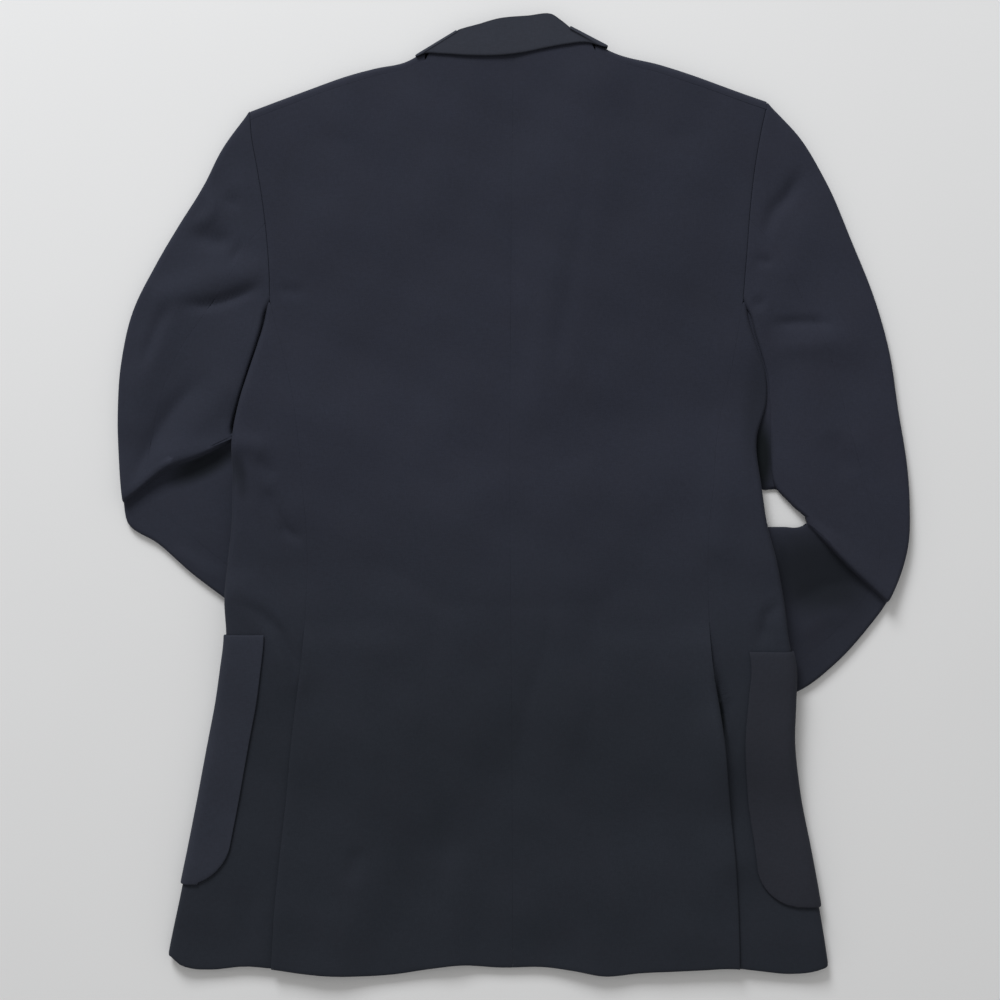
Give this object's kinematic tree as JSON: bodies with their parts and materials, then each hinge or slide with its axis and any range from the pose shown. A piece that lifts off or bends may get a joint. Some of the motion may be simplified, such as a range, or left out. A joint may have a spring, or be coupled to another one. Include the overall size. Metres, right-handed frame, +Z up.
{
  "type": "blazer laid flat face down",
  "caption": "Single-breasted tailored blazer in plain dark cloth laid flat, face down, with bent sleeves tucked under the body, side vents and patch pockets.",
  "frame": {"origin": "On the surface the blazer lies on, under the middle of its whole outline.", "axes": "+X to the right of the laid back, +Y towards the collar, +Z up from the surface."},
  "size_m": [0.653, 0.7898, 0.0208],
  "materials": {
    "body_cloth": "matte",
    "sleeve_cloth": "matte",
    "collar_cloth": "matte",
    "pocket_cloth": "matte",
    "button_resin": "satin"
  },
  "bodies": {
    "root": {"back_left": "body_cloth", "back_right": "body_cloth", "side_left": "body_cloth", "side_right": "body_cloth", "front_left": "body_cloth", "front_right": "body_cloth", "lapel_left": "body_cloth", "lapel_right": "body_cloth", "collar_fall": "collar_cloth", "collar_stand": "collar_cloth", "top_sleeve_left": "sleeve_cloth", "under_sleeve_left": "sleeve_cloth", "top_sleeve_right": "sleeve_cloth", "under_sleeve_right": "sleeve_cloth", "pocket_left": "pocket_cloth", "pocket_right": "pocket_cloth", "button_upper": "button_resin", "button_lower": "button_resin"}
  },
  "joints": []
}
